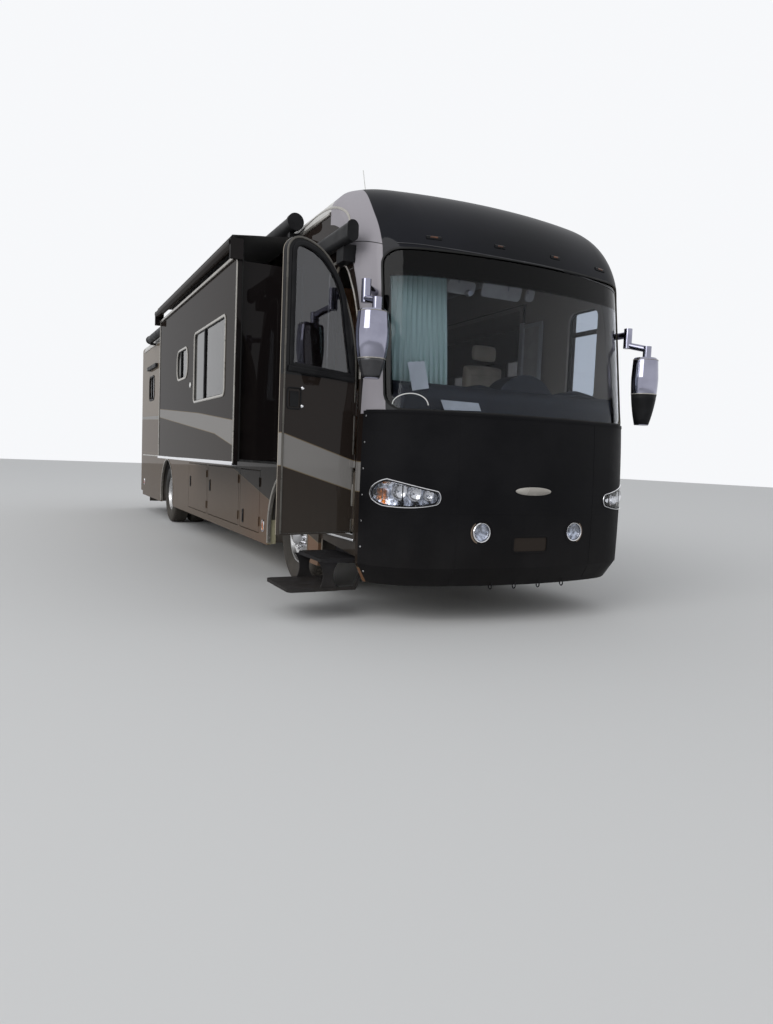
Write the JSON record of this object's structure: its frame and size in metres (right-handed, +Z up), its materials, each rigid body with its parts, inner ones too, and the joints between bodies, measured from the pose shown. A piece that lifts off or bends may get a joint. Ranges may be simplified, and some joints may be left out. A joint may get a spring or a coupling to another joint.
{
  "type": "motorhome",
  "caption": "Long bus-style motorhome with a masked nose, open entry door and step, extended slide-outs, awnings, storage bays and dual rear wheels.",
  "frame": {"origin": "centre of the whole object's footprint, on the ground", "axes": "+Z up, +Y towards the rear, the nose faces -Y, the entry side is -X"},
  "size_m": [4, 12.3374, 3.8347],
  "materials": {
    "frame_black": "satin black chassis paint",
    "deck": "plywood floor with carpet",
    "body_paint": "bronze and dark brown gloss paint with grey stripes",
    "cap_paint": "black gloss cap with silver side arches",
    "roof_skin": "pale weathered roof membrane",
    "mask_vinyl": "black grained vinyl",
    "clear_glass": "clear laminated glass",
    "dark_glass": "dark tinted glass",
    "lamp_lens": "clear lamp lens",
    "chrome": "polished chrome",
    "rim_metal": "polished aluminium",
    "tyre_rubber": "black rubber",
    "awning_fabric": "dark woven vinyl",
    "curtain_fabric": "pale green pleated curtain",
    "trim_plastic": "dark trim",
    "white_plastic": "weathered white plastic",
    "seat_leather": "taupe leather",
    "cabinet_wood": "reddish brown veneer",
    "cast_iron": "painted cast iron",
    "step_metal": "black gritted step"
  },
  "bodies": {
    "coach": {"chassis": "frame_black", "floor": "deck", "kerb_skirt": "body_paint", "driver_skirt": "body_paint", "kerb_wall": "body_paint", "driver_wall": "body_paint", "roof": "roof_skin", "front_cap": "cap_paint", "windshield": "clear_glass", "front_mask": "mask_vinyl", "rear_cap": "body_paint", "rear_bumper": "frame_black", "rock_guard": "tyre_rubber", "side_glass": "dark_glass", "lamps": "lamp_lens", "awnings": "trim_plastic", "mirrors": "chrome", "roof_units": "white_plastic", "dash": "trim_plastic", "cab_seats": "seat_leather", "cabinets": "cabinet_wood", "curtain": "curtain_fabric", "engine": "cast_iron", "axles": "frame_black", "topper_fabric": "awning_fabric"},
    "entry_door": {"entry_door": "body_paint", "entry_door_glass": "dark_glass"},
    "engine_hatch": {"engine_hatch": "body_paint"},
    "entry_step": {"entry_step": "step_metal"},
    "kerb_bay_door_front": {"kerb_bay_door_front": "body_paint"},
    "kerb_bay_door_mid": {"kerb_bay_door_mid": "body_paint"},
    "kerb_bay_door_rear": {"kerb_bay_door_rear": "body_paint"},
    "kerb_slideout": {"kerb_slideout": "body_paint", "kerb_slide_glass": "dark_glass"},
    "kerb_knuckle": {"kerb_knuckle": "frame_black"},
    "front_kerb_wheel": {"front_kerb_tyre": "tyre_rubber", "front_kerb_rim": "rim_metal"},
    "rear_kerb_wheels": {"rear_kerb_tyres": "tyre_rubber", "rear_kerb_rims": "rim_metal"},
    "driver_bay_door_front": {"driver_bay_door_front": "body_paint"},
    "driver_bay_door_mid": {"driver_bay_door_mid": "body_paint"},
    "driver_bay_door_rear": {"driver_bay_door_rear": "body_paint"},
    "driver_slideout": {"driver_slideout": "body_paint", "driver_slide_glass": "dark_glass"},
    "driver_knuckle": {"driver_knuckle": "frame_black"},
    "front_driver_wheel": {"front_driver_tyre": "tyre_rubber", "front_driver_rim": "rim_metal"},
    "rear_driver_wheels": {"rear_driver_tyres": "tyre_rubber", "rear_driver_rims": "rim_metal"}
  },
  "joints": [
    {"name": "entry_door_hinge", "type": "hinge", "parent": "coach", "child": "entry_door", "pos_m": [-1.303, -5.6015, 1.7], "axis": [0, 0, 1], "range_deg": [-102, 3]},
    {"name": "engine_hatch_hinge", "type": "hinge", "parent": "coach", "child": "engine_hatch", "pos_m": [0, 6.0465, 1.492], "axis": [1, 0, 0], "range_deg": [0, 80]},
    {"name": "entry_step_slide", "type": "slide", "parent": "coach", "child": "entry_step", "axis": [1, 0, 0], "range_m": [0, 0.48]},
    {"name": "kerb_bay_door_front_hinge", "type": "hinge", "parent": "coach", "child": "kerb_bay_door_front", "pos_m": [-1.303, -3.0535, 0.755], "axis": [0, 0, 1], "range_deg": [0, 90]},
    {"name": "kerb_bay_door_mid_hinge", "type": "hinge", "parent": "coach", "child": "kerb_bay_door_mid", "pos_m": [-1.303, -2.1735, 0.755], "axis": [0, 0, 1], "range_deg": [0, 90]},
    {"name": "kerb_bay_door_rear_hinge", "type": "hinge", "parent": "coach", "child": "kerb_bay_door_rear", "pos_m": [-1.303, -0.4735, 0.755], "axis": [0, 0, 1], "range_deg": [0, 90]},
    {"name": "kerb_slideout_slide", "type": "slide", "parent": "coach", "child": "kerb_slideout", "axis": [1, 0, 0], "range_m": [0, 0.575], "deforming": ["topper_fabric"]},
    {"name": "kerb_steer", "type": "hinge", "parent": "coach", "child": "kerb_knuckle", "pos_m": [-0.86, -3.9815, 0.506], "axis": [0, 0, 1], "range_deg": [-38, 38]},
    {"name": "front_kerb_wheel_spin", "type": "hinge", "parent": "kerb_knuckle", "child": "front_kerb_wheel", "pos_m": [-1.05, -3.9815, 0.506], "axis": [1, 0, 0], "continuous": true},
    {"name": "rear_kerb_wheels_spin", "type": "hinge", "parent": "coach", "child": "rear_kerb_wheels", "pos_m": [-0.935, 2.7185, 0.506], "axis": [1, 0, 0], "continuous": true},
    {"name": "driver_bay_door_front_hinge", "type": "hinge", "parent": "coach", "child": "driver_bay_door_front", "pos_m": [1.303, -3.0535, 0.755], "axis": [0, 0, -1], "range_deg": [0, 90]},
    {"name": "driver_bay_door_mid_hinge", "type": "hinge", "parent": "coach", "child": "driver_bay_door_mid", "pos_m": [1.303, -2.1735, 0.755], "axis": [0, 0, -1], "range_deg": [0, 90]},
    {"name": "driver_bay_door_rear_hinge", "type": "hinge", "parent": "coach", "child": "driver_bay_door_rear", "pos_m": [1.303, -0.4735, 0.755], "axis": [0, 0, -1], "range_deg": [0, 90]},
    {"name": "driver_slideout_slide", "type": "slide", "parent": "coach", "child": "driver_slideout", "axis": [-1, 0, 0], "range_m": [0, 0.575], "deforming": ["topper_fabric"]},
    {"name": "driver_steer", "type": "hinge", "parent": "coach", "child": "driver_knuckle", "pos_m": [0.86, -3.9815, 0.506], "axis": [0, 0, 1], "range_deg": [-38, 38]},
    {"name": "front_driver_wheel_spin", "type": "hinge", "parent": "driver_knuckle", "child": "front_driver_wheel", "pos_m": [1.05, -3.9815, 0.506], "axis": [1, 0, 0], "continuous": true},
    {"name": "rear_driver_wheels_spin", "type": "hinge", "parent": "coach", "child": "rear_driver_wheels", "pos_m": [0.935, 2.7185, 0.506], "axis": [1, 0, 0], "continuous": true}
  ],
  "couplings": [
    {"joint": "kerb_steer", "follows": "driver_steer", "ratio": 1}
  ]
}
